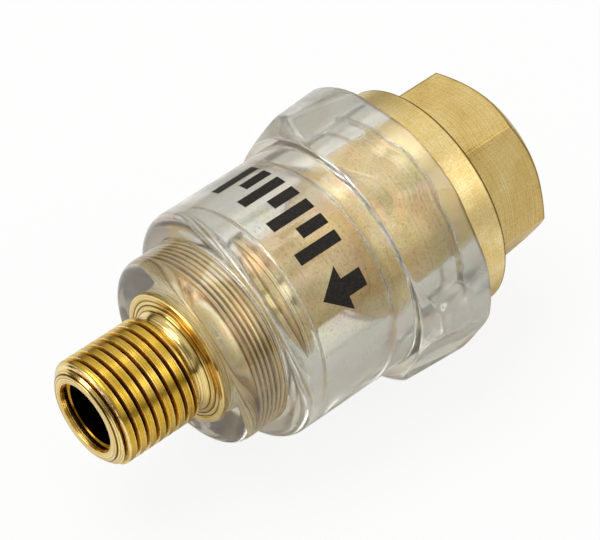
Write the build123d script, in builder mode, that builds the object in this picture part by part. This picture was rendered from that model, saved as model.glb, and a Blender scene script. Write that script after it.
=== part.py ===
from build123d import *
import os
from math import cos, radians, tan

# Inline air line lubricator, in millimetres.
# The flow axis is X: the male outlet thread points to -X and the inlet head stands at +X.
# The origin lies on that axis, where the outlet thread stops. +Z points to the middle of one
# of the clear collar's six flats, and the lubricator lies on the flat opposite.

# Pipe threads of both ports (G 1/4), drawn plain at the diameter that the mating part meets
port_thread_major = 13.157
port_thread_minor = 11.445

# Outlet fitting, turned from brass bar
outlet_run = 10.6            # thread with its lead-in
outlet_lead = 1.1            # lead-in bevel at the tip
outlet_tip_diameter = 10.7
outlet_mouth_diameter = 8.7
outlet_mouth_depth = 1.2
outlet_bore = 8.1
relief_diameter = 11.4
relief_length = 2.2          # from the end of the thread to the shoulder
relief_round = 1.7
rim_lip = 0.15               # how far the rim stands over the stem's thread
rim_round = 0.3
stem_thread = 16.0           # thread that holds the fitting in the bowl's neck
stem_length = 10.2
stem_end_step = 0.1          # from that thread in to the plain end behind it, on the radius
stem_end_length = 1.3
stem_undercut = 0.4
socket_length = 6.6          # socket for the air tube

# Clear bowl, moulded in one piece
neck_inset = 0.4             # from the fitting's shoulder to the neck's face
neck_step = 2.675            # from the barrel in to the neck, on the radius
neck_length = 5.8
neck_round = 1.6
barrel_diameter = 28.7
barrel_length = 16.4
barrel_round = 1.6
collar_flats = 30.8          # across the flats where they start
collar_draft = 7.2           # angle by which the flats open towards the inlet
collar_corners = 34.4
collar_length = 9.1
collar_bevel = 1.8           # along the axis, at the barrel's side
collar_end_bevel = 0.2
chamber_diameter = 17.4
chamber_length = 10.6
mouth_bevel = 0.5

# Inlet head, turned and milled from brass hexagon bar
spigot_diameter = 18.7
spigot_length = 9.4
spigot_bevel = 0.5
flange_diameter = 28.0
flange_length = 5.0
flange_bevel = 0.25
hex_flats = 21.0
hex_length = 9.65
hex_face_diameter = 19.4
hex_bevel_angle = 38.0
hex_turn = 3.0               # how far the tight head stands turned from the collar
inlet_depth = 10.5
inlet_countersink = 0.9
passage_diameter = 8.0
tube_seat_length = 7.0

# Air tube and the nozzle pressed into it
tube_diameter = 11.5
tube_bore = 6.0
tube_end_bevel = 0.4
vent_diameter = 1.6
vent_from_spigot = 2.2
nozzle_length = 8.0
nozzle_from_spigot = 4.0
nozzle_throat = 3.2
nozzle_throat_length = 1.5
nozzle_rim = 0.35            # wall left at the nozzle's two mouths

# Oil feed inside the outlet bore
felt_length = 2.1
felt_hole = 4.4
screw_length = 6.0
screw_nose_length = 1.0
screw_nose_diameter = 6.8
screw_hole = 4.4
screw_slot_width = 1.2
screw_slot_depth = 1.3
groove_depth = 0.8
groove_width = 1.1
groove_from_slot = 1.4
feed_ring_section = 0.8

# Gasket under the head's flange
gasket_thickness = 0.4
gasket_diameter = 24.0

# Clearances, each on the radius
thread_clearance = 0.05
spigot_clearance = 0.10
tube_clearance = 0.08
press_clearance = 0.01
seat_gap = 0.2               # ahead of the air tube's end, where the oil reaches the felt

# Diameters that follow from a neighbour's
rim_diameter = stem_thread + 2 * rim_lip
stem_end_diameter = stem_thread - 2 * stem_end_step
neck_diameter = barrel_diameter - 2 * neck_step

# Stations along the flow axis, worked out from the sizes above
outlet_tip = -outlet_run
shoulder = relief_length
stem_end = shoulder + stem_length + stem_end_length
neck_face = shoulder + neck_inset
barrel_start = neck_face + neck_length
collar_start = barrel_start + barrel_length
collar_end = collar_start + collar_length
spigot_end = collar_end - spigot_length
chamber_start = spigot_end - chamber_length
flange_start = collar_end + gasket_thickness
hex_start = flange_start + flange_length
head_end = hex_start + hex_length
inlet_bottom = head_end - inlet_depth
socket_bottom = stem_end - socket_length
tube_start = socket_bottom + seat_gap
tube_end = spigot_end + tube_seat_length
nozzle_end = spigot_end - nozzle_from_spigot
nozzle_start = nozzle_end - nozzle_length
felt_start = socket_bottom - felt_length
screw_start = felt_start - screw_nose_length - screw_length


def turned(corners):
    """Half section of a turned form: each corner is its place along X, its diameter and its round."""
    with BuildSketch(Plane.XZ) as section:
        with BuildLine():
            FilletPolyline(
                [(x, diameter / 2) for x, diameter, _ in corners],
                radius=[corner_round for _, _, corner_round in corners],
                close=True,
            )
        make_face()
    return section.sketch


# Bowl: hexagon collar with drafted flats and turned ends, barrel, neck and the stepped bore
with BuildPart() as bowl:
    collar_end_flats = collar_flats + 2 * collar_length * tan(radians(collar_draft))
    with BuildSketch(Plane.YZ.offset(collar_start)):
        RegularPolygon(collar_flats / 2, 6, major_radius=False)
    with BuildSketch(Plane.YZ.offset(collar_end)):
        RegularPolygon(collar_end_flats / 2, 6, major_radius=False)
    loft(ruled=True)
    revolve(
        turned(
            [
                (collar_start, 0, 0),
                (collar_start, collar_flats, 0),
                (collar_start + collar_bevel, collar_corners, 0),
                (collar_end - collar_end_bevel, collar_corners, 0),
                (collar_end, collar_corners - 2 * collar_end_bevel, 0),
                (collar_end, 0, 0),
            ]
        ),
        axis=Axis.X,
        mode=Mode.INTERSECT,
    )
    shoulder_round = min(barrel_round, 0.8 * neck_step)
    revolve(
        turned(
            [
                (neck_face, 0, 0),
                (neck_face, neck_diameter, neck_round),
                (barrel_start, neck_diameter, 0),
                (barrel_start, barrel_diameter, shoulder_round),
                (collar_start + collar_bevel, barrel_diameter, 0),
                (collar_start + collar_bevel, 0, 0),
            ]
        ),
        axis=Axis.X,
    )
    neck_hole = stem_thread + 2 * thread_clearance
    spigot_hole = spigot_diameter + 2 * spigot_clearance
    revolve(
        turned(
            [
                (neck_face, 0, 0),
                (neck_face, neck_hole, 0),
                (chamber_start, neck_hole, 0),
                (chamber_start, chamber_diameter, 0),
                (spigot_end - spigot_clearance, chamber_diameter, 0),
                (spigot_end - spigot_clearance, spigot_hole, 0),
                (collar_end - mouth_bevel, spigot_hole, 0),
                (collar_end, spigot_hole + 2 * mouth_bevel, 0),
                (collar_end, 0, 0),
            ]
        ),
        axis=Axis.X,
        mode=Mode.SUBTRACT,
    )
bowl.part.label = "bowl"

# Outlet fitting: pipe thread, relief, stem in the bowl's neck, and the bore with the tube's socket
with BuildPart() as outlet_fitting:
    socket_diameter = tube_diameter + 2 * tube_clearance
    thread_fall = (port_thread_major - relief_diameter) / 2
    flare_round = min(relief_round, (rim_diameter - relief_diameter) / 2 - rim_round)
    revolve(
        turned(
            [
                (outlet_tip, outlet_mouth_diameter, 0),
                (outlet_tip, outlet_tip_diameter, 0),
                (outlet_tip + outlet_lead, port_thread_major, 0),
                (0, port_thread_major, 0),
                (thread_fall / 2, relief_diameter, 0),
                (shoulder, relief_diameter, flare_round),
                (shoulder, rim_diameter, rim_round),
                (neck_face, rim_diameter, 0),
                (neck_face, stem_thread, 0),
                (shoulder + stem_length - stem_undercut, stem_thread, 0),
                (shoulder + stem_length - stem_undercut, stem_end_diameter - 2 * stem_undercut, 0),
                (shoulder + stem_length, stem_end_diameter - 2 * stem_undercut, 0),
                (shoulder + stem_length, stem_end_diameter, 0),
                (stem_end, stem_end_diameter, 0),
                (stem_end, socket_diameter, 0),
                (socket_bottom, socket_diameter, 0),
                (socket_bottom, outlet_bore, 0),
                (outlet_tip + outlet_mouth_depth, outlet_bore, 0),
                (outlet_tip + outlet_mouth_depth, outlet_mouth_diameter, 0),
            ]
        ),
        axis=Axis.X,
    )
outlet_fitting.part.label = "outlet_fitting"

# Inlet head: spigot, round flange, hexagon with a bevelled end, and the bore from port to tube seat
with BuildPart() as inlet_head:
    hex_corners = hex_flats / cos(radians(30))
    hex_bevel = (hex_corners - hex_face_diameter) / 2 * tan(radians(hex_bevel_angle))
    with BuildSketch(Plane.YZ.offset(hex_start)):
        RegularPolygon(hex_flats / 2, 6, major_radius=False, rotation=hex_turn)
    extrude(amount=hex_length)
    revolve(
        turned(
            [
                (hex_start, 0, 0),
                (hex_start, hex_corners, 0),
                (head_end - hex_bevel, hex_corners, 0),
                (head_end, hex_face_diameter, 0),
                (head_end, 0, 0),
            ]
        ),
        axis=Axis.X,
        mode=Mode.INTERSECT,
    )
    revolve(
        turned(
            [
                (spigot_end, 0, 0),
                (spigot_end, spigot_diameter - 2 * spigot_bevel, 0),
                (spigot_end + spigot_bevel, spigot_diameter, 0),
                (flange_start, spigot_diameter, 0),
                (flange_start, flange_diameter - 2 * flange_bevel, 0),
                (flange_start + flange_bevel, flange_diameter, 0),
                (hex_start - flange_bevel, flange_diameter, 0),
                (hex_start, flange_diameter - 2 * flange_bevel, 0),
                (hex_start, 0, 0),
            ]
        ),
        axis=Axis.X,
    )
    seat_diameter = tube_diameter + 2 * press_clearance
    revolve(
        turned(
            [
                (spigot_end, 0, 0),
                (spigot_end, seat_diameter, 0),
                (tube_end, seat_diameter, 0),
                (tube_end, passage_diameter, 0),
                (inlet_bottom, passage_diameter, 0),
                (inlet_bottom, port_thread_minor, 0),
                (head_end - inlet_countersink, port_thread_minor, 0),
                (head_end, port_thread_minor + 2 * inlet_countersink, 0),
                (head_end, 0, 0),
            ]
        ),
        axis=Axis.X,
        mode=Mode.SUBTRACT,
    )
inlet_head.part.label = "inlet_head"

# Air tube: from its seat in the head, through the oil, into the fitting's socket
with BuildPart() as air_tube:
    revolve(
        turned(
            [
                (tube_start, tube_bore, 0),
                (tube_start, tube_diameter - 2 * tube_end_bevel, 0),
                (tube_start + tube_end_bevel, tube_diameter, 0),
                (tube_end, tube_diameter, 0),
                (tube_end, tube_bore, 0),
            ]
        ),
        axis=Axis.X,
    )
    with BuildSketch(Plane.XZ):
        with Locations((spigot_end - vent_from_spigot, 0)):
            Circle(vent_diameter / 2)
    extrude(amount=-tube_diameter, mode=Mode.SUBTRACT)
air_tube.part.label = "air_tube"

# Nozzle: converges to its throat and opens again towards the outlet
with BuildPart() as venturi_nozzle:
    nozzle_diameter = tube_bore - 2 * press_clearance
    nozzle_mouth = nozzle_diameter - 2 * nozzle_rim
    throat_end = nozzle_end - (nozzle_mouth - nozzle_throat) / 2
    revolve(
        turned(
            [
                (nozzle_start, nozzle_mouth, 0),
                (nozzle_start, nozzle_diameter, 0),
                (nozzle_end, nozzle_diameter, 0),
                (nozzle_end, nozzle_mouth, 0),
                (throat_end, nozzle_throat, 0),
                (throat_end - nozzle_throat_length, nozzle_throat, 0),
            ]
        ),
        axis=Axis.X,
    )
venturi_nozzle.part.label = "venturi_nozzle"

# Felt ring: soaks up oil at the tube's end and gives it to the air
with BuildPart() as felt_ring:
    felt_diameter = outlet_bore - 2 * thread_clearance
    with BuildSketch(Plane.YZ.offset(felt_start)):
        Circle(felt_diameter / 2)
        Circle(felt_hole / 2, mode=Mode.SUBTRACT)
    extrude(amount=felt_length)
felt_ring.part.label = "felt_ring"

# Metering screw: hollow, slotted at the outlet side, with a nose that bears on the felt
with BuildPart() as metering_screw:
    screw_diameter = outlet_bore - 2 * thread_clearance
    groove_start = screw_start + screw_slot_depth + groove_from_slot
    groove_floor = screw_diameter - 2 * groove_depth
    revolve(
        turned(
            [
                (screw_start, screw_hole, 0),
                (screw_start, screw_diameter, 0),
                (groove_start, screw_diameter, 0),
                (groove_start, groove_floor, 0),
                (groove_start + groove_width, groove_floor, 0),
                (groove_start + groove_width, screw_diameter, 0),
                (screw_start + screw_length, screw_diameter, 0),
                (screw_start + screw_length, screw_nose_diameter, 0),
                (felt_start, screw_nose_diameter, 0),
                (felt_start, screw_hole, 0),
            ]
        ),
        axis=Axis.X,
    )
    with BuildSketch(Plane.YZ.offset(screw_start)):
        Rectangle(screw_diameter, screw_slot_width)
    extrude(amount=screw_slot_depth, mode=Mode.SUBTRACT)
metering_screw.part.label = "metering_screw"

# Feed ring: rubber ring in the screw's groove, which keeps the setting
with BuildPart() as feed_ring:
    ring_middle = screw_diameter / 2 - feed_ring_section / 2
    with BuildSketch(Plane.XZ):
        with Locations((groove_start + groove_width / 2, ring_middle)):
            Circle(feed_ring_section / 2 - press_clearance)
    revolve(axis=Axis.X)
feed_ring.part.label = "feed_ring"

# Head gasket: flat ring between the collar and the flange
with BuildPart() as head_gasket:
    with BuildSketch(Plane.YZ.offset(collar_end)):
        Circle(gasket_diameter / 2)
        Circle(spigot_hole / 2, mode=Mode.SUBTRACT)
    extrude(amount=gasket_thickness)
head_gasket.part.label = "head_gasket"

pieces = [
    bowl,
    outlet_fitting,
    inlet_head,
    air_tube,
    venturi_nozzle,
    felt_ring,
    metering_screw,
    feed_ring,
    head_gasket,
]
os.makedirs("parts", exist_ok=True)
for piece in pieces:
    export_step(piece.part, f"parts/{piece.part.label}.step")
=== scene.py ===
import math

import bmesh
import bpy
from mathutils import Matrix, Vector


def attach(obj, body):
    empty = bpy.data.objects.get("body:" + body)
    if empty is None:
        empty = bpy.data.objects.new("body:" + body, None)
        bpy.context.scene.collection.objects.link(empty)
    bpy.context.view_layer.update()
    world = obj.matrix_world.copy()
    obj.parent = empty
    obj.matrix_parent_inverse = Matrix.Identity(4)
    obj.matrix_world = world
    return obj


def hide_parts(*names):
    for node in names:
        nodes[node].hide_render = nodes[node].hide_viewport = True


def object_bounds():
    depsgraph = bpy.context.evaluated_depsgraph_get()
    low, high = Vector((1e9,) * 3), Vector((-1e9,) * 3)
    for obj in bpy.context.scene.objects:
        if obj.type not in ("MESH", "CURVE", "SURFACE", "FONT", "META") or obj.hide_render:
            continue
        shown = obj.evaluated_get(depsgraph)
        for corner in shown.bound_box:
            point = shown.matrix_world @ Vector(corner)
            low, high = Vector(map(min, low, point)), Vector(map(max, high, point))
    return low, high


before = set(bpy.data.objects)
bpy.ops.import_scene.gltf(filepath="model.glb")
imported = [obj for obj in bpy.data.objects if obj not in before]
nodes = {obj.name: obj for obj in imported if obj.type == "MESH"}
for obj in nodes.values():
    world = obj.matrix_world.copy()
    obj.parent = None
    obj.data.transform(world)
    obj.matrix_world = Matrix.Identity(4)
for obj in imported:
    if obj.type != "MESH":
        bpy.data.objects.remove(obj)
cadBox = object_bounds()
print("frame loaded:", ", ".join(sorted(nodes)))

# Lengths below are millimetres on the lathe: x runs along the flow axis, r is the radius.
millimetre = 0.001
slack = 0.01    # how far a vertex may stray from the edge that it belongs to
hair = 0.001    # the same where two edges lie close together
margin = 0.05   # how far a zone reaches past the edges that it is meant for
fullTurn = 2 * math.pi
noiseSpan = (0.3, 0.7)   # where nearly all the values of a noise texture lie

# Camera: where the photograph puts the tip of the outlet thread and the flow axis
photo = {
    "focalPixels": 3000.0,
    "widthPixels": 600.0,
    "tipInCamera": (-23.28, 16.08, 324.41),  # right, down and away from the lens
    "tipX": -10.6,
    "recede": 26.2,   # degrees by which the axis runs away from the lens
    "climb": 33.24,   # degrees by which it climbs in the picture
    "roll": 320.0,    # degrees from the side that faces the lens round to the part's +Z
}


def addCamera():
    recede, climb, roll = (math.radians(photo[k]) for k in ("recede", "climb", "roll"))
    axis = Vector(
        (math.cos(recede) * math.cos(climb), -math.cos(recede) * math.sin(climb), math.sin(recede))
    )
    facing = axis * axis.z - Vector((0, 0, 1))
    facing.normalize()
    side = axis.cross(facing)
    up = facing * math.cos(roll) + side * math.sin(roll)
    toPart = Matrix((axis, up.cross(axis), up))
    data = bpy.data.cameras.new("photoCamera")
    data.sensor_width = 36.0
    data.lens = photo["focalPixels"] / photo["widthPixels"] * data.sensor_width
    data.clip_start, data.clip_end = 0.01, 20.0
    camera = bpy.data.objects.new("photoCamera", data)
    bpy.context.scene.collection.objects.link(camera)
    place = toPart @ -Vector(photo["tipInCamera"]) + Vector((photo["tipX"], 0, 0))
    right, above, back = (toPart @ Vector(v) for v in ((1, 0, 0), (0, -1, 0), (0, 0, -1)))
    turn = Matrix((right, above, back)).transposed().to_4x4()
    turn.translation = place * millimetre
    camera.matrix_world = turn
    bpy.context.scene.camera = camera
    return right, above, back


pictureRight, pictureUp, towardsLens = addCamera()
print("camera placed")


# Materials: shared effects first, then one function for each finish
def nodeGroup(name, inputs, outputs):
    group = bpy.data.node_groups.new(name, "ShaderNodeTree")
    for label, value in inputs:
        socket = group.interface.new_socket(label, in_out="INPUT", socket_type="NodeSocketFloat")
        socket.default_value = value
    for label, kind in outputs:
        group.interface.new_socket(label, in_out="OUTPUT", socket_type=kind)
    return group, group.nodes.new("NodeGroupInput"), group.nodes.new("NodeGroupOutput")


def mathNode(tree, operation, a, b=None):
    node = tree.nodes.new("ShaderNodeMath")
    node.operation = operation
    for socket, value in zip(node.inputs, (a, b)):
        if value is None:
            continue
        if isinstance(value, (int, float)):
            socket.default_value = value
        else:
            tree.links.new(value, socket)
    return node.outputs[0]


def noiseNode(tree, scale, detail, dimensions="3D", vector=None, w=None):
    node = tree.nodes.new("ShaderNodeTexNoise")
    node.noise_dimensions = dimensions
    node.inputs["Scale"].default_value = scale
    node.inputs["Detail"].default_value = detail
    if vector is not None:
        tree.links.new(vector, node.inputs["Vector"])
    if w is not None:
        tree.links.new(w, node.inputs["W"])
    return node.outputs[0]


def latheMarksGroup():
    # Lines left by the lathe's tool, which follow x on a cylinder and r on a face, and fine speckle
    settings = {"patchesPerMillimetre": 0.35, "chatterPerRadian": 55.0}
    group, entry, result = nodeGroup(
        "latheMarks",
        [("Lines Per Millimetre", 6.0), ("Grain Per Millimetre", 9.0)],
        [
            ("Lines", "NodeSocketFloat"),
            ("Grain", "NodeSocketFloat"),
            ("Patches", "NodeSocketFloat"),
            ("Chatter", "NodeSocketFloat"),
            ("Radius", "NodeSocketFloat"),
        ],
    )
    place = group.nodes.new("ShaderNodeTexCoord")
    inMillimetres = group.nodes.new("ShaderNodeMapping")
    inMillimetres.inputs["Scale"].default_value = (1 / millimetre,) * 3
    group.links.new(place.outputs["Object"], inMillimetres.inputs["Vector"])
    split = group.nodes.new("ShaderNodeSeparateXYZ")
    group.links.new(inMillimetres.outputs[0], split.inputs[0])
    y2 = mathNode(group, "MULTIPLY", split.outputs["Y"], split.outputs["Y"])
    z2 = mathNode(group, "MULTIPLY", split.outputs["Z"], split.outputs["Z"])
    radius = mathNode(group, "SQRT", mathNode(group, "ADD", y2, z2))
    along = mathNode(group, "ADD", split.outputs["X"], radius)
    w = mathNode(group, "MULTIPLY", along, entry.outputs["Lines Per Millimetre"])
    lines = noiseNode(group, scale=1.0, detail=2.0, dimensions="1D", w=w)
    grain = group.nodes.new("ShaderNodeTexNoise")
    grain.inputs["Detail"].default_value = 3.0
    group.links.new(inMillimetres.outputs[0], grain.inputs["Vector"])
    group.links.new(entry.outputs["Grain Per Millimetre"], grain.inputs["Scale"])
    patches = noiseNode(
        group, settings["patchesPerMillimetre"], detail=2.0, vector=inMillimetres.outputs[0]
    )
    angle = mathNode(group, "ARCTAN2", split.outputs["Z"], split.outputs["Y"])
    around = mathNode(group, "MULTIPLY", angle, settings["chatterPerRadian"])
    chatter = noiseNode(group, scale=1.0, detail=1.0, dimensions="1D", w=around)
    group.links.new(lines, result.inputs["Lines"])
    group.links.new(grain.outputs[0], result.inputs["Grain"])
    group.links.new(patches, result.inputs["Patches"])
    group.links.new(chatter, result.inputs["Chatter"])
    group.links.new(radius, result.inputs["Radius"])
    return group


def newMaterial(name):
    material = bpy.data.materials.new(name)
    material.use_nodes = True
    return material, material.node_tree, material.node_tree.nodes["Principled BSDF"]


def useGroup(tree, group, **values):
    node = tree.nodes.new("ShaderNodeGroup")
    node.node_tree = group
    for label, value in values.items():
        node.inputs[label].default_value = value
    return node


def colourRamp(tree, mask, stops):
    ramp = tree.nodes.new("ShaderNodeValToRGB")
    elements = ramp.color_ramp.elements
    while len(elements) < len(stops):
        elements.new(0.5)
    for element, (position, colour) in zip(elements, stops):
        element.position = position
        element.color = (*colour, 1.0)
    tree.links.new(mask, ramp.inputs[0])
    return ramp.outputs[0]


def mapRange(tree, mask, low, high, fromLow=0.0, fromHigh=1.0):
    node = tree.nodes.new("ShaderNodeMapRange")
    node.inputs["From Min"].default_value = fromLow
    node.inputs["From Max"].default_value = fromHigh
    node.inputs["To Min"].default_value = low
    node.inputs["To Max"].default_value = high
    tree.links.new(mask, node.inputs["Value"])
    return node.outputs[0]


def multiplyColours(tree, a, b):
    node = tree.nodes.new("ShaderNodeVectorMath")
    node.operation = "MULTIPLY"
    tree.links.new(a, node.inputs[0])
    tree.links.new(b, node.inputs[1])
    return node.outputs[0]


def bumpFrom(tree, height, strength, distance):
    bump = tree.nodes.new("ShaderNodeBump")
    bump.inputs["Strength"].default_value = strength
    bump.inputs["Distance"].default_value = distance
    tree.links.new(height, bump.inputs["Height"])
    return bump.outputs["Normal"]


def brassMaterial(name, finish):
    material, tree, shader = newMaterial(name)
    marks = useGroup(
        tree,
        latheMarks,
        **{"Lines Per Millimetre": finish["lines"], "Grain Per Millimetre": finish["grain"]},
    )
    shader.inputs["Metallic"].default_value = 1.0

    def share(output, amount):
        return mathNode(tree, "MULTIPLY", marks.outputs[output], amount)

    grain, chatter, patches = finish["grainShare"], finish["chatterShare"], finish["patchShare"]
    lines = share("Lines", 1.0 - grain - chatter)
    mixed = mathNode(tree, "ADD", share("Grain", grain), share("Chatter", chatter))
    mixed = mathNode(tree, "ADD", mixed, lines)
    toned = mathNode(tree, "MULTIPLY", mixed, 1.0 - patches)
    toned = mathNode(tree, "ADD", toned, share("Patches", patches))
    # The piece's own attribute darkens the metal above 0, as painted shade in grooves, bevels and
    # edges, and lightens it below 0, as painted highlight on thread crests and a lighter flange
    paintedShadeAndHighlight = tree.nodes.new("ShaderNodeAttribute")
    paintedShadeAndHighlight.attribute_name = "paintedShadeAndHighlight"
    paintedShading = mathNode(tree, "MULTIPLY", paintedShadeAndHighlight.outputs["Fac"], finish["paintedShadeAndHighlight"])
    toned = mathNode(tree, "SUBTRACT", toned, paintedShading)
    if finish["boreRadius"]:
        # Painted shade inside the bore, darker where the radius is below the bore's
        boreShade = -0.6
        outside = mapRange(tree, marks.outputs["Radius"], boreShade, 0.0, *finish["boreRadius"])
        toned = mathNode(tree, "ADD", toned, outside)
    tree.links.new(colourRamp(tree, toned, finish["colours"]), shader.inputs["Base Color"])
    rough = mapRange(tree, toned, finish["roughHigh"], finish["roughLow"], *noiseSpan)
    tree.links.new(rough, shader.inputs["Roughness"])
    tree.links.new(bumpFrom(tree, mixed, finish["bump"], finish["bumpDepth"]), shader.inputs["Normal"])
    return material


latheMarks = latheMarksGroup()

polishedBrass = brassMaterial(
    "polishedBrass",
    {
        "lines": 5.0,
        "grain": 5.0,
        "grainShare": 0.25,
        "chatterShare": 0.0,
        "patchShare": 0.2,
        "paintedShadeAndHighlight": 0.30,
        "boreRadius": (4.06, 4.2),
        "colours": [
            (0.05, (0.03, 0.015, 0.004)),
            (0.32, (0.36, 0.20, 0.035)),
            (0.46, (0.80, 0.57, 0.17)),
            (0.62, (0.96, 0.80, 0.42)),
        ],
        "roughLow": 0.08,
        "roughHigh": 0.20,
        "bump": 0.6,
        "bumpDepth": 0.00004,
    },
)
threadBrass = brassMaterial(
    "threadBrass",
    {
        "lines": 6.0,
        "grain": 6.0,
        "grainShare": 0.4,
        "chatterShare": 0.0,
        "patchShare": 0.3,
        "paintedShadeAndHighlight": 0.34,
        "boreRadius": (4.06, 4.2),
        "colours": [
            (0.05, (0.03, 0.015, 0.004)),
            (0.34, (0.40, 0.22, 0.025)),
            (0.50, (0.70, 0.44, 0.04)),
            (0.64, (0.80, 0.55, 0.10)),
            (0.82, (1.00, 0.86, 0.50)),
        ],
        "roughLow": 0.20,
        "roughHigh": 0.32,
        "bump": 0.5,
        "bumpDepth": 0.00003,
    },
)
stemBrass = brassMaterial(
    "stemBrass",
    {
        "lines": 7.0,
        "grain": 5.0,
        "grainShare": 0.0,
        "chatterShare": 0.0,
        "patchShare": 0.15,
        "paintedShadeAndHighlight": 0.12,
        "boreRadius": None,
        "colours": [
            (0.34, (0.20, 0.11, 0.03)),
            (0.42, (0.55, 0.37, 0.13)),
            (0.48, (0.92, 0.71, 0.35)),
            (0.58, (1.00, 0.91, 0.64)),
        ],
        "roughLow": 0.26,
        "roughHigh": 0.40,
        "bump": 0.6,
        "bumpDepth": 0.00005,
    },
)
satinBrass = brassMaterial(
    "satinBrass",
    {
        "lines": 6.0,
        "grain": 6.0,
        "grainShare": 0.5,
        "chatterShare": 0.12,
        "patchShare": 0.3,
        "paintedShadeAndHighlight": 0.45,
        "boreRadius": None,
        "colours": [
            (0.10, (0.07, 0.04, 0.01)),
            (0.32, (0.48, 0.32, 0.085)),
            (0.45, (0.68, 0.49, 0.17)),
            (0.54, (0.78, 0.59, 0.235)),
            (0.66, (0.90, 0.76, 0.43)),
        ],
        "roughLow": 0.36,
        "roughHigh": 0.52,
        "bump": 0.5,
        "bumpDepth": 0.00005,
    },
)
oiledBrass = brassMaterial(
    "oiledBrass",
    {
        "lines": 4.0,
        "grain": 5.0,
        "grainShare": 0.6,
        "chatterShare": 0.0,
        "patchShare": 0.35,
        "paintedShadeAndHighlight": 0.0,
        "boreRadius": None,
        "colours": [
            (0.30, (0.72, 0.54, 0.23)),
            (0.50, (1.00, 0.80, 0.42)),
            (0.70, (1.00, 0.91, 0.58)),
        ],
        "roughLow": 0.48,
        "roughHigh": 0.62,
        "bump": 0.5,
        "bumpDepth": 0.00005,
    },
)


def clearPlasticMaterial():
    settings = {
        "clear": (0.985, 0.985, 0.965),
        "cloud": (0.93, 0.92, 0.88),
        "speck": (0.62, 0.60, 0.54),
        "speckSteps": (0.45, 0.62, 0.72),
        "strain": [   # faint rainbow of a moulding under strain
            (0.36, (1.0, 0.90, 0.88)),
            (0.45, (0.93, 1.0, 0.91)),
            (0.54, (0.97, 0.95, 1.0)),
            (0.64, (1.0, 0.98, 0.86)),
        ],
        "rimShade": (0.34, 0.26, 0.17),
        "ior": 1.57,
        "transmission": 0.97,   # the rest is the haze of a used bowl
        "rough": (0.07, 0.14),
        "skinShare": 0.4,
        "bump": 0.06,
        "bumpDepth": 0.0001,
    }
    wavesPerMetre = {"specks": 3300.0, "strain": 190.0, "haze": 260.0, "waves": 300.0, "skin": 2600.0}
    material, tree, shader = newMaterial("clearPlastic")
    place = tree.nodes.new("ShaderNodeTexCoord").outputs["Object"]

    def noise(name, detail):
        return noiseNode(tree, wavesPerMetre[name], detail, vector=place)

    colours = (settings["clear"], settings["cloud"], settings["speck"])
    specks = colourRamp(tree, noise("specks", detail=2.0), list(zip(settings["speckSteps"], colours)))
    strain = colourRamp(tree, noise("strain", detail=1.0), settings["strain"])
    tinted = multiplyColours(tree, specks, strain)
    paintedShadeAndHighlight = tree.nodes.new("ShaderNodeAttribute")
    paintedShadeAndHighlight.attribute_name = "paintedShadeAndHighlight"
    # Painted shade at the collar's rim, from the piece's own attribute
    paintedShading = colourRamp(tree, paintedShadeAndHighlight.outputs["Fac"], [(0.0, (1, 1, 1)), (1.0, settings["rimShade"])])
    tree.links.new(multiplyColours(tree, tinted, paintedShading), shader.inputs["Base Color"])
    shader.inputs["Transmission Weight"].default_value = settings["transmission"]
    shader.inputs["IOR"].default_value = settings["ior"]
    rough = mapRange(tree, noise("haze", detail=3.0), *settings["rough"], *noiseSpan)
    tree.links.new(rough, shader.inputs["Roughness"])
    skin = mathNode(tree, "MULTIPLY", noise("skin", detail=2.0), settings["skinShare"])
    surface = mathNode(tree, "ADD", noise("waves", detail=1.0), skin)
    normal = bumpFrom(tree, surface, settings["bump"], settings["bumpDepth"])
    tree.links.new(normal, shader.inputs["Normal"])
    return material


def plainMaterial(name, look):
    detail, spread, bump = 4.0, 0.06, 0.4   # spread is of the roughness, to either side
    material, tree, shader = newMaterial(name)
    place = tree.nodes.new("ShaderNodeTexCoord")
    grain = noiseNode(tree, look["wavesPerMetre"], detail, vector=place.outputs["Object"])
    colour = colourRamp(tree, grain, list(zip(noiseSpan, look["colours"])))
    tree.links.new(colour, shader.inputs["Base Color"])
    rough = mapRange(tree, grain, look["roughness"] - spread, look["roughness"] + spread)
    tree.links.new(rough, shader.inputs["Roughness"])
    tree.links.new(bumpFrom(tree, grain, bump, look["bumpDepth"]), shader.inputs["Normal"])
    for label, value in look.get("sockets", {}).items():
        shader.inputs[label].default_value = value
    return material


clearPlastic = clearPlasticMaterial()
blackRubber = plainMaterial(
    "blackRubber",
    {
        "colours": ((0.012, 0.012, 0.012), (0.03, 0.03, 0.03)),
        "roughness": 0.55,
        "wavesPerMetre": 2500.0,
        "bumpDepth": 0.00003,
    },
)
paleRubber = plainMaterial(
    "paleRubber",
    {
        "colours": ((0.84, 0.78, 0.62), (0.92, 0.87, 0.72)),
        "roughness": 0.3,
        "wavesPerMetre": 2500.0,
        "bumpDepth": 0.00003,
        "sockets": {"Transmission Weight": 0.85, "IOR": 1.41},
    },
)
woolFelt = plainMaterial(
    "woolFelt",
    {
        "colours": ((0.42, 0.38, 0.30), (0.72, 0.67, 0.56)),
        "roughness": 0.94,
        "wavesPerMetre": 3000.0,
        "bumpDepth": 0.0002,
    },
)
blackPrint = plainMaterial(
    "blackPrint",
    {
        "colours": ((0.006, 0.005, 0.004), (0.03, 0.025, 0.02)),
        "roughness": 0.5,
        "wavesPerMetre": 4000.0,
        "bumpDepth": 0.00001,
        "sockets": {"Specular IOR Level": 0.15},
    },
)
print("materials made")


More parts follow.
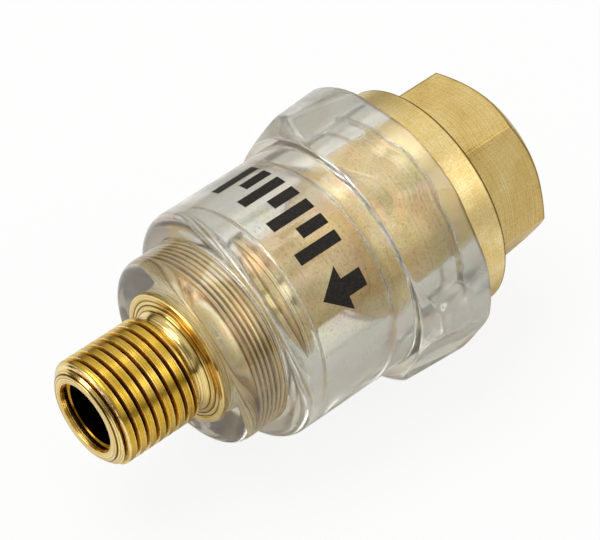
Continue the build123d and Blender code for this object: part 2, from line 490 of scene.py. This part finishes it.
# Turning: a profile is spun about the flow axis, then flats and threads are worked into it
def turnedBlank(corners, steps, fineZones):
    # corners are (x, r, round); fineZones are (lowX, highX, lowR, highR, cell)
    segmentsPerMillimetre = 8   # of a round
    weld = 0.0005   # vertices nearer to each other than this become one
    bm = bmesh.new()
    points = [bm.verts.new((x, 0.0, r)) for x, r, _ in corners]
    bm.faces.new(points)
    for point, (_, _, rounding) in zip(points, corners):
        if rounding:
            bmesh.ops.bevel(
                bm,
                geom=[point],
                offset=rounding,
                offset_type="OFFSET",
                affect="VERTICES",
                segments=max(2, round(rounding * segmentsPerMillimetre)),
                profile=0.5,
                material=-1,
            )
    for lowX, highX, lowR, highR, cell in fineZones:
        for edge in list(bm.edges):
            middle = (edge.verts[0].co + edge.verts[1].co) / 2
            if lowX <= middle.x <= highX and lowR <= middle.z <= highR:
                cuts = int(edge.calc_length() / cell)
                if cuts:
                    bmesh.ops.subdivide_edges(bm, edges=[edge], cuts=cuts)
    bmesh.ops.delete(bm, geom=bm.faces[:], context="FACES_ONLY")
    # A sixth is spun and copied round, because a full spin of so many steps takes minutes
    bmesh.ops.spin(
        bm,
        geom=bm.verts[:] + bm.edges[:],
        cent=(0, 0, 0),
        axis=(1, 0, 0),
        angle=fullTurn / 6,
        steps=steps // 6,
        use_merge=False,
    )
    sixth = bm.verts[:] + bm.edges[:] + bm.faces[:]
    for turn in range(1, 6):
        copied = bmesh.ops.duplicate(bm, geom=sixth)["geom"]
        bmesh.ops.rotate(
            bm,
            cent=(0, 0, 0),
            matrix=Matrix.Rotation(turn * fullTurn / 6, 3, "X"),
            verts=[part for part in copied if isinstance(part, bmesh.types.BMVert)],
        )
    bmesh.ops.remove_doubles(bm, verts=bm.verts[:], dist=weld)
    bmesh.ops.recalc_face_normals(bm, faces=bm.faces[:])
    return bm


def polar(co):
    return math.hypot(co.y, co.z), math.atan2(co.z, co.y)


def setRadius(vert, radius):
    old = math.hypot(vert.co.y, vert.co.z)
    vert.co.y *= radius / old
    vert.co.z *= radius / old


def softLesser(a, b, blend):
    # The lesser of two radii, with a round of about the blend's size where they meet
    gap = max(0.0, 1.0 - abs(a - b) / blend)
    return min(a, b) - gap * gap * blend / 4


def fromFlat(angle, phase):
    # Angle from the middle of the nearest of six flats, where phase is a corner's angle
    step = math.pi / 3
    return (angle - phase + step) % step - step / 2


def paintedShadeLayer(bm):
    return bm.verts.layers.float.get("paintedShadeAndHighlight") or bm.verts.layers.float.new("paintedShadeAndHighlight")


def cutThread(bm, thread):
    # A right-hand helix of V grooves with flat crests; depth is negative for a thread inside a hole
    low, high, fade = thread["start"], thread["end"], thread["fade"]
    lowR, highR = thread["radii"]
    pitch, half = thread["pitch"], thread["grooveHalf"]
    root = half * (1.0 - 1.0 / thread["sharpness"])
    highlightReach = 0.3   # of half a groove, to either side of the crest's edge
    paintedShadeAndHighlight = paintedShadeLayer(bm)
    for vert in bm.verts:
        radius, angle = polar(vert.co)
        x = vert.co.x
        if not (low <= x <= high and lowR <= radius <= highR):
            continue
        fromGroove = (x + thread["shift"] - angle / fullTurn * pitch) % pitch - pitch / 2
        for edge in (-half, -root, root, half):
            # The nearest vertex is drawn to each edge of the groove, which keeps the edge clean
            if abs(fromGroove - edge) < thread["cell"] / 2:
                vert.co.x += edge - fromGroove
                fromGroove = edge
                break
        away = abs(fromGroove) / half
        ease = min(1.0, (x - low) / fade[0], (high - x) / fade[1])
        share = ease * min(1.0, max(0.0, (1.0 - away) * thread["sharpness"]))
        nearCrestEdge = max(0.0, 1.0 - abs(away - 1.0) / highlightReach)
        # Painted shade deepens towards each groove's root, and a painted highlight lies along each
        # crest's edge
        vert[paintedShadeAndHighlight] = share * share - thread["crestHighlight"] * nearCrestEdge
        setRadius(vert, radius - thread["depth"] * share)


def finishPiece(bm, name, material, sharpAngle):
    bmesh.ops.scale(bm, vec=(millimetre,) * 3, verts=bm.verts[:])
    for edge in bm.edges:
        edge.smooth = edge.calc_face_angle(0.0) < math.radians(sharpAngle)
    for face in bm.faces:
        face.smooth = True
    mesh = bpy.data.meshes.new(name)
    bm.to_mesh(mesh)
    bm.free()
    mesh.materials.append(material)
    piece = bpy.data.objects.new(name, mesh)
    bpy.context.scene.collection.objects.link(piece)
    return piece


def dress(piece, body, node):
    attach(piece, body)
    if node:
        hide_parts(node)
    print("made", piece.name, len(piece.data.polygons), "faces")


# Thread that holds the outlet fitting in the bowl's neck, and the plastic that stands in its grooves
stemThread = {
    "pitch": 0.7,
    "shift": 0.0,
    "crestHighlight": 0.5,
    "grooveHalf": 0.24,
    "sharpness": 1.15,
    "cell": 0.1,
    "start": 2.9,
    "end": 12.1,
    "fade": (0.6, 0.4),
    "depth": 0.36,
    "radii": (7.6, 8.03),
}
neckThread = {**stemThread, "cell": 0.08, "radii": (7.8, 8.1)}

# Bowl of clear plastic
bowlShape = {
    "neckFace": 2.6,
    "neckLead": 0.3,
    "neckRadius": 11.675,
    "neckRound": 1.6,
    "neckFillet": 0.25,
    "barrelStart": 8.4,
    "barrelRadius": 14.35,
    "barrelRound": 1.6,
    "collarStart": 24.8,
    "collarFillet": 0.3,
    "collarEnd": 33.88,
    "collarBevel": 1.8,
    "bevelRound": 0.3,
    "endBevel": 0.2,
    "flatStart": 15.4,
    "flatStartRound": 0.2,
    "flatDraft": 7.2,
    "flatReach": 0.6,   # a flat cuts what lies further out than this below flatStart
    "collarRadius": 17.2,
    "neckHole": 7.99,
    "chamberRadius": 8.7,
    "chamberStart": 13.9,
    "chamberRound": 0.4,
    "spigotEnd": 24.4,
    "spigotHole": 9.45,
    "stepRound": 0.1,
    "stepFillet": 0.15,
    "mouthBevel": 0.5,
    "edgeSoftness": 0.35,
    "rimShade": 0.3,     # width of the line of painted shade round the collar's end, at the gap to the flange
    "steps": 396,
    "cell": 0.2,
}


def makeBowl():
    s = bowlShape
    corners = [
        (s["neckFace"], s["neckHole"] + s["neckLead"], 0),
        (s["neckFace"], s["neckRadius"], s["neckRound"]),
        (s["barrelStart"], s["neckRadius"], s["neckFillet"]),
        (s["barrelStart"], s["barrelRadius"], s["barrelRound"]),
        (s["collarStart"], s["barrelRadius"], s["collarFillet"]),
        (s["collarStart"], s["flatStart"], s["flatStartRound"]),
        (s["collarStart"] + s["collarBevel"], s["collarRadius"], s["bevelRound"]),
        (s["collarEnd"] - s["endBevel"], s["collarRadius"], 0),
        (s["collarEnd"], s["collarRadius"] - s["endBevel"], 0),
        (s["collarEnd"], s["spigotHole"] + s["mouthBevel"], 0),
        (s["collarEnd"] - s["mouthBevel"], s["spigotHole"], 0),
        (s["spigotEnd"], s["spigotHole"], s["stepRound"]),
        (s["spigotEnd"], s["chamberRadius"], s["stepFillet"]),
        (s["chamberStart"], s["chamberRadius"], s["chamberRound"]),
        (s["chamberStart"], s["neckHole"], s["stepRound"]),
        (s["neckFace"] + s["neckLead"], s["neckHole"], 0),
    ]
    fineZones = [
        (s["collarStart"], s["collarEnd"], s["barrelRadius"] + 0.2, s["collarRadius"] + 0.1, s["cell"]),
        (
            s["neckFace"] + s["neckLead"],
            s["chamberStart"] - s["stepRound"],
            s["neckHole"] - 0.1,
            s["neckHole"] + 0.1,
            neckThread["cell"],
        ),
    ]
    bm = turnedBlank(corners, s["steps"], fineZones)
    draft = math.tan(math.radians(s["flatDraft"]))
    for vert in bm.verts:
        radius, angle = polar(vert.co)
        if vert.co.x > s["collarStart"] - slack and radius > s["flatStart"] - s["flatReach"]:
            flat = s["flatStart"] + (vert.co.x - s["collarStart"]) * draft
            flat /= math.cos(fromFlat(angle, 0.0))
            setRadius(vert, softLesser(radius, flat, s["edgeSoftness"]))
    cutThread(bm, neckThread)
    paintedShadeAndHighlight = paintedShadeLayer(bm)
    endFlat = s["flatStart"] + (s["collarEnd"] - s["collarStart"]) * draft
    # A line of painted shade round the collar's end, where the gap to the flange lies
    for vert in bm.verts:
        radius, angle = polar(vert.co)
        rim = min(s["collarRadius"], endFlat / math.cos(fromFlat(angle, 0.0)))
        onRim = vert.co.x > s["collarEnd"] - s["endBevel"] - slack and radius > rim - s["rimShade"]
        vert[paintedShadeAndHighlight] = float(onRim)
    return finishPiece(bm, "clearBowl", clearPlastic, sharpAngle=40)


bowl = makeBowl()
dress(bowl, "bowl_unit", "bowl")

# Outlet fitting
outletShape = {
    "tip": -10.6,
    "tipRadius": 5.35,
    "tipRound": 0.12,
    "lead": 1.1,
    "leadRound": 0.2,
    "crestRadius": 6.5785,
    "crestRound": 0.1,
    "mouthRadius": 4.35,
    "mouthRound": 0.08,
    "mouthDepth": 1.2,
    "boreRadius": 4.05,
    "reliefRadius": 5.7,
    "reliefRound": 0.2,
    "shoulder": 2.2,
    "flareRound": 1.7,
    "rimRadius": 8.15,
    "rimRound": 0.15,
    "rimBackRound": 0.05,
    "neckFace": 2.6,
    "stemRadius": 8.0,
    "stemEnd": 12.0,
    "undercut": 0.4,
    "tailRadius": 7.9,
    "tailRounds": (0.1, 0.15),
    "stemTail": 13.7,
    "socketRadius": 5.83,
    "socketBottom": 7.1,
    "steps": 240,
}
outletThread = {
    "pitch": 1.337,
    "shift": 0.4,
    "crestHighlight": 0.9,
    "grooveHalf": 0.27,
    "sharpness": 1.3,
    "cell": 0.055,
    "start": -10.55,
    "end": 0.5,
    "fade": (0.7, 0.9),
    "depth": 0.62,
    "radii": (5.9, 6.6),
}
turnedRings = {
    "pitches": (0.27, 0.45),
    "steepness": 0.9,
    "land": 0.1,
    "depth": 0.06,
    "paintedShadeAndHighlight": 1.5,
    "cell": 0.05,
    "flare": (0.35, 2.2, 6.2, 8.1),       # low and high x, low and high r
    "tipBevel": (-10.55, -9.6, 5.4, 6.55),
}


def cutRings(bm):
    # Coarse rings that the tool left on the flare and on the bevelled tip
    rings = turnedRings
    paintedShadeAndHighlight = paintedShadeLayer(bm)
    for lowX, highX, lowR, highR in (rings["flare"], rings["tipBevel"]):
        for vert in bm.verts:
            radius, _ = polar(vert.co)
            if not (lowX <= vert.co.x <= highX and lowR < radius < highR):
                continue
            waves = sum(math.sin(fullTurn * radius / pitch + pitch) for pitch in rings["pitches"])
            deep = min(1.0, max(0.0, rings["steepness"] * waves - rings["land"]))
            vert.co.x += rings["depth"] * deep
            # Painted shade in the grooves of the rings
            vert[paintedShadeAndHighlight] = rings["paintedShadeAndHighlight"] * deep


def makeOutletFitting():
    s = outletShape
    fall = s["crestRadius"] - s["reliefRadius"]
    rootRadius = s["tailRadius"] - s["undercut"]
    undercutEnd = s["stemEnd"] + s["undercut"]
    corners = [
        (s["tip"], s["mouthRadius"], s["mouthRound"]),
        (s["tip"], s["tipRadius"], s["tipRound"]),
        (s["tip"] + s["lead"], s["crestRadius"], s["leadRound"]),
        (0.0, s["crestRadius"], s["crestRound"]),
        (fall / 2, s["reliefRadius"], s["reliefRound"]),
        (s["shoulder"], s["reliefRadius"], s["flareRound"]),
        (s["shoulder"], s["rimRadius"], s["rimRound"]),
        (s["neckFace"], s["rimRadius"], s["rimBackRound"]),
        (s["neckFace"], s["stemRadius"], 0),
        (s["stemEnd"], s["stemRadius"], 0),
        (s["stemEnd"], rootRadius, 0),
        (undercutEnd, rootRadius, 0),
        (undercutEnd, s["tailRadius"], s["tailRounds"][0]),
        (s["stemTail"], s["tailRadius"], s["tailRounds"][1]),
        (s["stemTail"], s["socketRadius"], 0),
        (s["socketBottom"], s["socketRadius"], 0),
        (s["socketBottom"], s["boreRadius"], 0),
        (s["tip"] + s["mouthDepth"], s["boreRadius"], 0),
        (s["tip"] + s["mouthDepth"], s["mouthRadius"], 0),
    ]
    fineZones = [
        # outlet thread and its tip
        (s["tip"] + 0.2, 0.6, 5.6, 7.0, outletThread["cell"]),
        # flare
        (0.5, s["shoulder"] + slack, 5.8, s["rimRadius"], turnedRings["cell"]),
        # stem thread
        (s["neckFace"] + slack, s["stemEnd"], s["stemRadius"] - 0.02, 8.02, stemThread["cell"]),
    ]
    bm = turnedBlank(corners, s["steps"], fineZones)
    cutRings(bm)
    cutThread(bm, outletThread)
    cutThread(bm, stemThread)
    piece = finishPiece(bm, "outletFitting", polishedBrass, sharpAngle=38)
    piece.data.materials.append(threadBrass)
    piece.data.materials.append(stemBrass)
    polishedSlot, threadSlot, stemSlot = range(3)
    for face in piece.data.polygons:
        x = face.center.x / millimetre
        if x > s["neckFace"]:
            face.material_index = stemSlot
        elif s["tip"] + s["lead"] < x < s["crestRound"]:
            face.material_index = threadSlot
        else:
            face.material_index = polishedSlot
    return piece


outletFitting = makeOutletFitting()
dress(outletFitting, "bowl_unit", "outlet_fitting")

# Inlet head
headShape = {
    "spigotEnd": 24.5,
    "spigotRadius": 9.35,
    "spigotBevel": 0.5,
    "flangeStart": 34.3,
    "flangeRadius": 14.0,
    "flangeBevel": 0.25,
    "hexStart": 39.3,
    "hexFlat": 10.5,
    "hexCorner": 12.03,
    "hexFillet": 0.15,
    "headEnd": 48.95,
    "longestBevel": 2.0,
    "bevelAngle": 38.0,
    "faceRadius": 9.7,
    "faceRound": 0.15,
    "cornerTurn": 3.0,   # degrees of the first corner from +Y
    "portRadius": 5.7225,
    "countersink": 0.9,
    "countersinkRound": 0.08,
    "portBottom": 38.45,
    "passageRadius": 4.0,
    "seatEnd": 31.5,
    "seatRadius": 5.76,
    "stepRound": 0.1,
    "steps": 360,
}
# Painted shade on the head's bevels, facet ends and corners; values below 0 give a lighter tone
headPaintedShade = {
    "flangeBevel": 0.9,
    "flange": -0.12,     # a lighter tone
    "facetEnd": 0.8,
    "corner": 0.3,
    "cornerFrom": 29.2,  # degrees from a flat's middle, where the corner begins
    "flangeCell": 0.2,
    "facetCell": 0.25,
}
inletThread = {
    "pitch": 1.337,
    "shift": 0.0,
    "crestHighlight": 0.5,
    "grooveHalf": 0.39,
    "sharpness": 1.12,
    "cell": 0.09,
    "start": 39.0,
    "end": 48.6,
    "fade": (1.0, 0.6),
    "depth": -0.74,
    "radii": (5.70, 6.5),
}


def shapeFlange(bm):
    # The flange stays round, with painted shade on its two bevels and a lighter tone on its round
    s = headShape
    paintedShadeAndHighlight = paintedShadeLayer(bm)
    for vert in bm.verts:
        radius, _ = polar(vert.co)
        x = vert.co.x
        if radius > s["flangeRadius"] - s["flangeBevel"] - slack and x > s["flangeStart"] - slack:
            onBevel = min(x - s["flangeStart"], s["hexStart"] - x) < s["flangeBevel"] + slack
            vert[paintedShadeAndHighlight] = headPaintedShade["flangeBevel"] if onBevel else headPaintedShade["flange"]


def shapeHexagon(bm, bevelStart):
    # The round behind the flange is drawn in to six flats, each as long as the cone bevel leaves it
    s = headShape
    paintedShadeAndHighlight = paintedShadeLayer(bm)
    slope = math.tan(math.radians(s["bevelAngle"]))
    fullLength = bevelStart - s["hexStart"]
    fillet = s["hexFillet"] + margin
    for vert in bm.verts:
        radius, angle = polar(vert.co)
        x = vert.co.x
        fromMiddle = fromFlat(angle, math.radians(s["cornerTurn"]))
        flat = min(s["hexFlat"] / math.cos(fromMiddle), s["hexCorner"])
        outside = radius - s["hexCorner"]
        if -hair <= x - s["hexStart"] <= fillet and -hair <= outside <= fillet:
            setRadius(vert, flat + outside)
        elif s["hexStart"] < x <= bevelStart + slack and abs(outside) < slack:
            facetLength = s["headEnd"] - (flat - s["faceRadius"]) * slope - s["hexStart"]
            atEnd = x > bevelStart - slack
            atCorner = abs(fromMiddle) > math.radians(headPaintedShade["cornerFrom"])
            vert.co.x = s["hexStart"] + (x - s["hexStart"]) * facetLength / fullLength
            # Painted shade along the facets' ends and the hexagon's corners
            vert[paintedShadeAndHighlight] = headPaintedShade["facetEnd"] if atEnd else headPaintedShade["corner"] if atCorner else 0.0
            setRadius(vert, flat)


def makeInletHead():
    s = headShape
    bevelStart = s["headEnd"] - s["longestBevel"]
    corners = [
        (s["spigotEnd"], s["seatRadius"], s["stepRound"]),
        (s["spigotEnd"], s["spigotRadius"] - s["spigotBevel"], 0),
        (s["spigotEnd"] + s["spigotBevel"], s["spigotRadius"], s["stepRound"]),
        (s["flangeStart"], s["spigotRadius"], 0),
        (s["flangeStart"], s["flangeRadius"] - s["flangeBevel"], 0),
        (s["flangeStart"] + s["flangeBevel"], s["flangeRadius"], 0),
        (s["hexStart"] - s["flangeBevel"], s["flangeRadius"], 0),
        (s["hexStart"], s["flangeRadius"] - s["flangeBevel"], 0),
        (s["hexStart"], s["hexCorner"], s["hexFillet"]),
        (bevelStart, s["hexCorner"], 0),
        (s["headEnd"], s["faceRadius"], s["faceRound"]),
        (s["headEnd"], s["portRadius"] + s["countersink"], s["countersinkRound"]),
        (s["headEnd"] - s["countersink"], s["portRadius"], 0),
        (s["portBottom"], s["portRadius"], 0),
        (s["portBottom"], s["passageRadius"], s["stepRound"]),
        (s["seatEnd"], s["passageRadius"], 0),
        (s["seatEnd"], s["seatRadius"], 0),
    ]
    flange = (s["flangeRadius"] - margin, s["flangeRadius"] + margin, headPaintedShade["flangeCell"])
    facets = (s["hexCorner"] - margin, s["hexCorner"] + margin, headPaintedShade["facetCell"])
    fineZones = [
        # inlet thread and its countersink
        (s["portBottom"] + 0.1, s["headEnd"], 5.7, 6.7, inletThread["cell"]),
        (s["flangeStart"], s["hexStart"], *flange),
        (s["hexStart"] + 0.2, bevelStart, *facets),
    ]
    bm = turnedBlank(corners, s["steps"], fineZones)
    shapeFlange(bm)
    shapeHexagon(bm, bevelStart)
    cutThread(bm, inletThread)
    piece = finishPiece(bm, "inletHead", satinBrass, sharpAngle=20)
    piece.data.materials.append(oiledBrass)
    satinSlot, oiledSlot = range(2)
    for face in piece.data.polygons:
        inBowl = face.center.x / millimetre < s["flangeStart"] - slack
        face.material_index = oiledSlot if inBowl else satinSlot
    return piece


inletHead = makeInletHead()
dress(inletHead, "head_unit", "inlet_head")

# Pieces that keep their solids
for nodeName, material in (
    ("air_tube", oiledBrass),
    ("venturi_nozzle", oiledBrass),
    ("metering_screw", oiledBrass),
    ("felt_ring", woolFelt),
    ("feed_ring", blackRubber),
    ("head_gasket", paleRubber),
):
    nodes[nodeName].data.materials.clear()
    nodes[nodeName].data.materials.append(material)


# Printed flow mark: an arrow towards the outlet and plain bars, wrapped on the barrel
markShape = {
    "radius": 14.36,
    "thickness": 0.02,
    "startAngle": 63.0,   # degrees from +Y, where the first bar stands
    "lowX": 14.3,
    "highX": 20.1,
    "bars": 7,
    "barWidth": 1.45,
    "barPitch": 2.4,
    "shortBar": 0.62,     # every other bar's length, as a share of the full one
    "arrowMiddle": 20.4,  # along the arc from the first bar
    "arrowWidth": 5.4,
    "shaftWidth": 2.2,
    "headLength": 3.2,
    "strip": 0.4,         # width of the strips that let the mark bend round the barrel
}


def addFlatShape(bm, points, thickness):
    face = bm.faces.new([bm.verts.new((x, along, 0.0)) for x, along in points])
    grown = bmesh.ops.extrude_face_region(bm, geom=[face])["geom"]
    top = [part for part in grown if isinstance(part, bmesh.types.BMVert)]
    bmesh.ops.translate(bm, vec=(0, 0, thickness), verts=top)


def makeFlowMark():
    s = markShape
    bm = bmesh.new()
    for bar in range(s["bars"]):
        low = bar * s["barPitch"]
        high = low + s["barWidth"]
        length = (s["highX"] - s["lowX"]) * (1.0 if bar % 2 == 0 else s["shortBar"])
        start = s["highX"] - length
        corners = [(start, low), (s["highX"], low), (s["highX"], high), (start, high)]
        addFlatShape(bm, corners, s["thickness"])
    middle, neck = s["arrowMiddle"], s["lowX"] + s["headLength"]
    halfHead, halfShaft = s["arrowWidth"] / 2, s["shaftWidth"] / 2
    arrow = [
        (s["lowX"], middle),
        (neck, middle - halfHead),
        (neck, middle - halfShaft),
        (s["highX"], middle - halfShaft),
        (s["highX"], middle + halfShaft),
        (neck, middle + halfShaft),
        (neck, middle + halfHead),
    ]
    addFlatShape(bm, arrow, s["thickness"])
    strips = math.ceil((middle + halfHead) / s["strip"])
    for cut in range(1, strips):
        bmesh.ops.bisect_plane(
            bm,
            geom=bm.verts[:] + bm.edges[:] + bm.faces[:],
            plane_co=(0, cut * s["strip"], 0),
            plane_no=(0, 1, 0),
        )
    for vert in bm.verts:
        angle = math.radians(s["startAngle"]) + vert.co.y / s["radius"]
        radius = s["radius"] + vert.co.z
        vert.co = Vector((vert.co.x, radius * math.cos(angle), radius * math.sin(angle)))
    bmesh.ops.recalc_face_normals(bm, faces=bm.faces[:])
    return finishPiece(bm, "flowMark", blackPrint, sharpAngle=40)


flowMark = makeFlowMark()
dress(flowMark, "bowl_unit", None)

# Floor, world and lamps
def raysAt(tree):
    # Rays from the camera, rays that left the plastic unmirrored, and rays mirrored in it first
    ray = tree.nodes.new("ShaderNodeLightPath").outputs
    mirrored = mathNode(tree, "MINIMUM", ray["Glossy Depth"], 1.0)
    straight = mathNode(tree, "SUBTRACT", 1.0, mirrored)
    through = ray["Is Transmission Ray"]
    return (
        ray["Is Camera Ray"],
        mathNode(tree, "MULTIPLY", through, straight),
        mathNode(tree, "MULTIPLY", through, mirrored),
    )


def addFloor():
    settings = {
        "size": 6.0,
        "middleX": 0.02,
        "height": cadBox[0].z - 0.0001,
        "colour": (0.84, 0.84, 0.84),
        "glow": 0.88,                     # share of plain white where the camera sees the floor
        "throughPlastic": (0.97, 0.98, 0.95),
        "mirrored": (0.48, 0.465, 0.41),  # after a mirroring in the plastic or on brass inside it
        "throughShare": 0.8,
    }
    bm = bmesh.new()
    bmesh.ops.create_grid(bm, x_segments=1, y_segments=1, size=settings["size"] / 2)
    bmesh.ops.translate(bm, vec=(settings["middleX"], 0, settings["height"]), verts=bm.verts[:])
    mesh = bpy.data.meshes.new("floor")
    bm.to_mesh(mesh)
    bm.free()
    floor = bpy.data.objects.new("floor", mesh)
    bpy.context.scene.collection.objects.link(floor)
    material, tree, shader = newMaterial("paleFloor")
    shader.inputs["Base Color"].default_value = (*settings["colour"], 1.0)
    shader.inputs["Roughness"].default_value = 1.0
    shader.inputs["Specular IOR Level"].default_value = 0.0
    byCamera, straight, mirrored = raysAt(tree)
    surface = shader.outputs[0]
    for seen, share, colour in (
        (straight, settings["throughShare"], settings["throughPlastic"]),
        (mirrored, settings["throughShare"], settings["mirrored"]),
        (byCamera, settings["glow"], (1, 1, 1)),
    ):
        glow = tree.nodes.new("ShaderNodeEmission")
        glow.inputs["Color"].default_value = (*colour, 1.0)
        blend = tree.nodes.new("ShaderNodeMixShader")
        tree.links.new(mathNode(tree, "MULTIPLY", seen, share), blend.inputs[0])
        tree.links.new(surface, blend.inputs[1])
        tree.links.new(glow.outputs[0], blend.inputs[2])
        surface = blend.outputs[0]
    tree.links.new(surface, tree.nodes["Material Output"].inputs["Surface"])
    mesh.materials.append(material)


def addWorld():
    world = bpy.data.worlds.new("studio")
    bpy.context.scene.world = world
    world.use_nodes = True
    tree = world.node_tree
    direction = tree.nodes.new("ShaderNodeTexCoord").outputs["Generated"]
    split = tree.nodes.new("ShaderNodeSeparateXYZ")
    tree.links.new(direction, split.inputs[0])
    tents = {
        "open": [
            (0.0, (0.07, 0.055, 0.035)),
            (0.14, (0.12, 0.095, 0.06)),
            (0.30, (0.61, 0.57, 0.47)),
            (0.60, (0.95, 0.95, 0.94)),
            (1.0, (1.0, 1.0, 1.0)),
        ],
        "throughPlastic": [
            (0.0, (0.50, 0.49, 0.45)),
            (0.35, (0.78, 0.76, 0.71)),
            (0.70, (1.0, 0.99, 0.96)),
            (1.0, (1.0, 1.0, 1.0)),
        ],
    }
    strengths = {"open": 0.8, "throughPlastic": 1.06, "background": 1.0}
    # The photographer's dark side of the tent, which polished metal mirrors
    darkSide = {"share": 0.25, "outer": 0.90, "inner": 0.965}   # edges as cosines from the lens
    colours = {name: colourRamp(tree, split.outputs["Z"], stops) for name, stops in tents.items()}
    nearness = tree.nodes.new("ShaderNodeVectorMath")
    nearness.operation = "DOT_PRODUCT"
    nearness.inputs[1].default_value = towardsLens
    tree.links.new(direction, nearness.inputs[0])
    lit = mapRange(
        tree, nearness.outputs["Value"], 1.0, darkSide["share"], darkSide["outer"], darkSide["inner"]
    )
    shade = tree.nodes.new("ShaderNodeVectorMath")
    shade.operation = "SCALE"
    tree.links.new(colours["open"], shade.inputs[0])
    tree.links.new(lit, shade.inputs["Scale"])
    byCamera, straight, mirrored = raysAt(tree)
    throughPlastic = mathNode(tree, "ADD", straight, mirrored)
    surface = None
    for seen, colour, strength in (
        (None, shade.outputs[0], strengths["open"]),
        (throughPlastic, colours["throughPlastic"], strengths["throughPlastic"]),
        (byCamera, None, strengths["background"]),
    ):
        sky = tree.nodes.new("ShaderNodeBackground")
        sky.inputs["Color"].default_value = (1, 1, 1, 1)
        sky.inputs["Strength"].default_value = strength
        if colour:
            tree.links.new(colour, sky.inputs["Color"])
        if seen is None:
            surface = sky.outputs[0]
            continue
        blend = tree.nodes.new("ShaderNodeMixShader")
        tree.links.new(seen, blend.inputs[0])
        tree.links.new(surface, blend.inputs[1])
        tree.links.new(sky.outputs[0], blend.inputs[2])
        surface = blend.outputs[0]
    tree.links.new(surface, tree.nodes["World Output"].inputs["Surface"])


lamps = {   # "from" is right, up and back as the lens sees the part; lengths are metres
    "keyLamp": {"from": (-0.4, 1.0, 0.9), "distance": 0.6, "size": (0.5, 0.35), "watts": 1.5},
    "fillLamp": {"from": (1.0, 0.45, 0.5), "distance": 0.7, "size": (0.4, 0.5), "watts": 0.8},
    "rimLamp": {"from": (-1.0, -0.1, 0.2), "distance": 0.6, "size": (0.2, 0.5), "watts": 0.8},
}
lampAim = Vector((0.02, 0.0, 0.0))


def addLamp(name, settings):
    right, up, back = settings["from"]
    direction = (pictureRight * right + pictureUp * up + towardsLens * back).normalized()
    data = bpy.data.lights.new(name, "AREA")
    data.shape = "RECTANGLE"
    data.size, data.size_y = settings["size"]
    data.energy = settings["watts"]
    lamp = bpy.data.objects.new(name, data)
    bpy.context.scene.collection.objects.link(lamp)
    lamp.rotation_mode = "QUATERNION"
    lamp.rotation_quaternion = direction.to_track_quat("Z", "Y")
    lamp.location = lampAim + direction * settings["distance"]


addFloor()
addWorld()
for name, settings in lamps.items():
    addLamp(name, settings)
bpy.context.scene.cycles.max_bounces = 32
bpy.context.scene.cycles.transmission_bounces = 32
bpy.context.scene.cycles.glossy_bounces = 12
bpy.context.scene.view_settings.view_transform = "Standard"
print("studio lit")
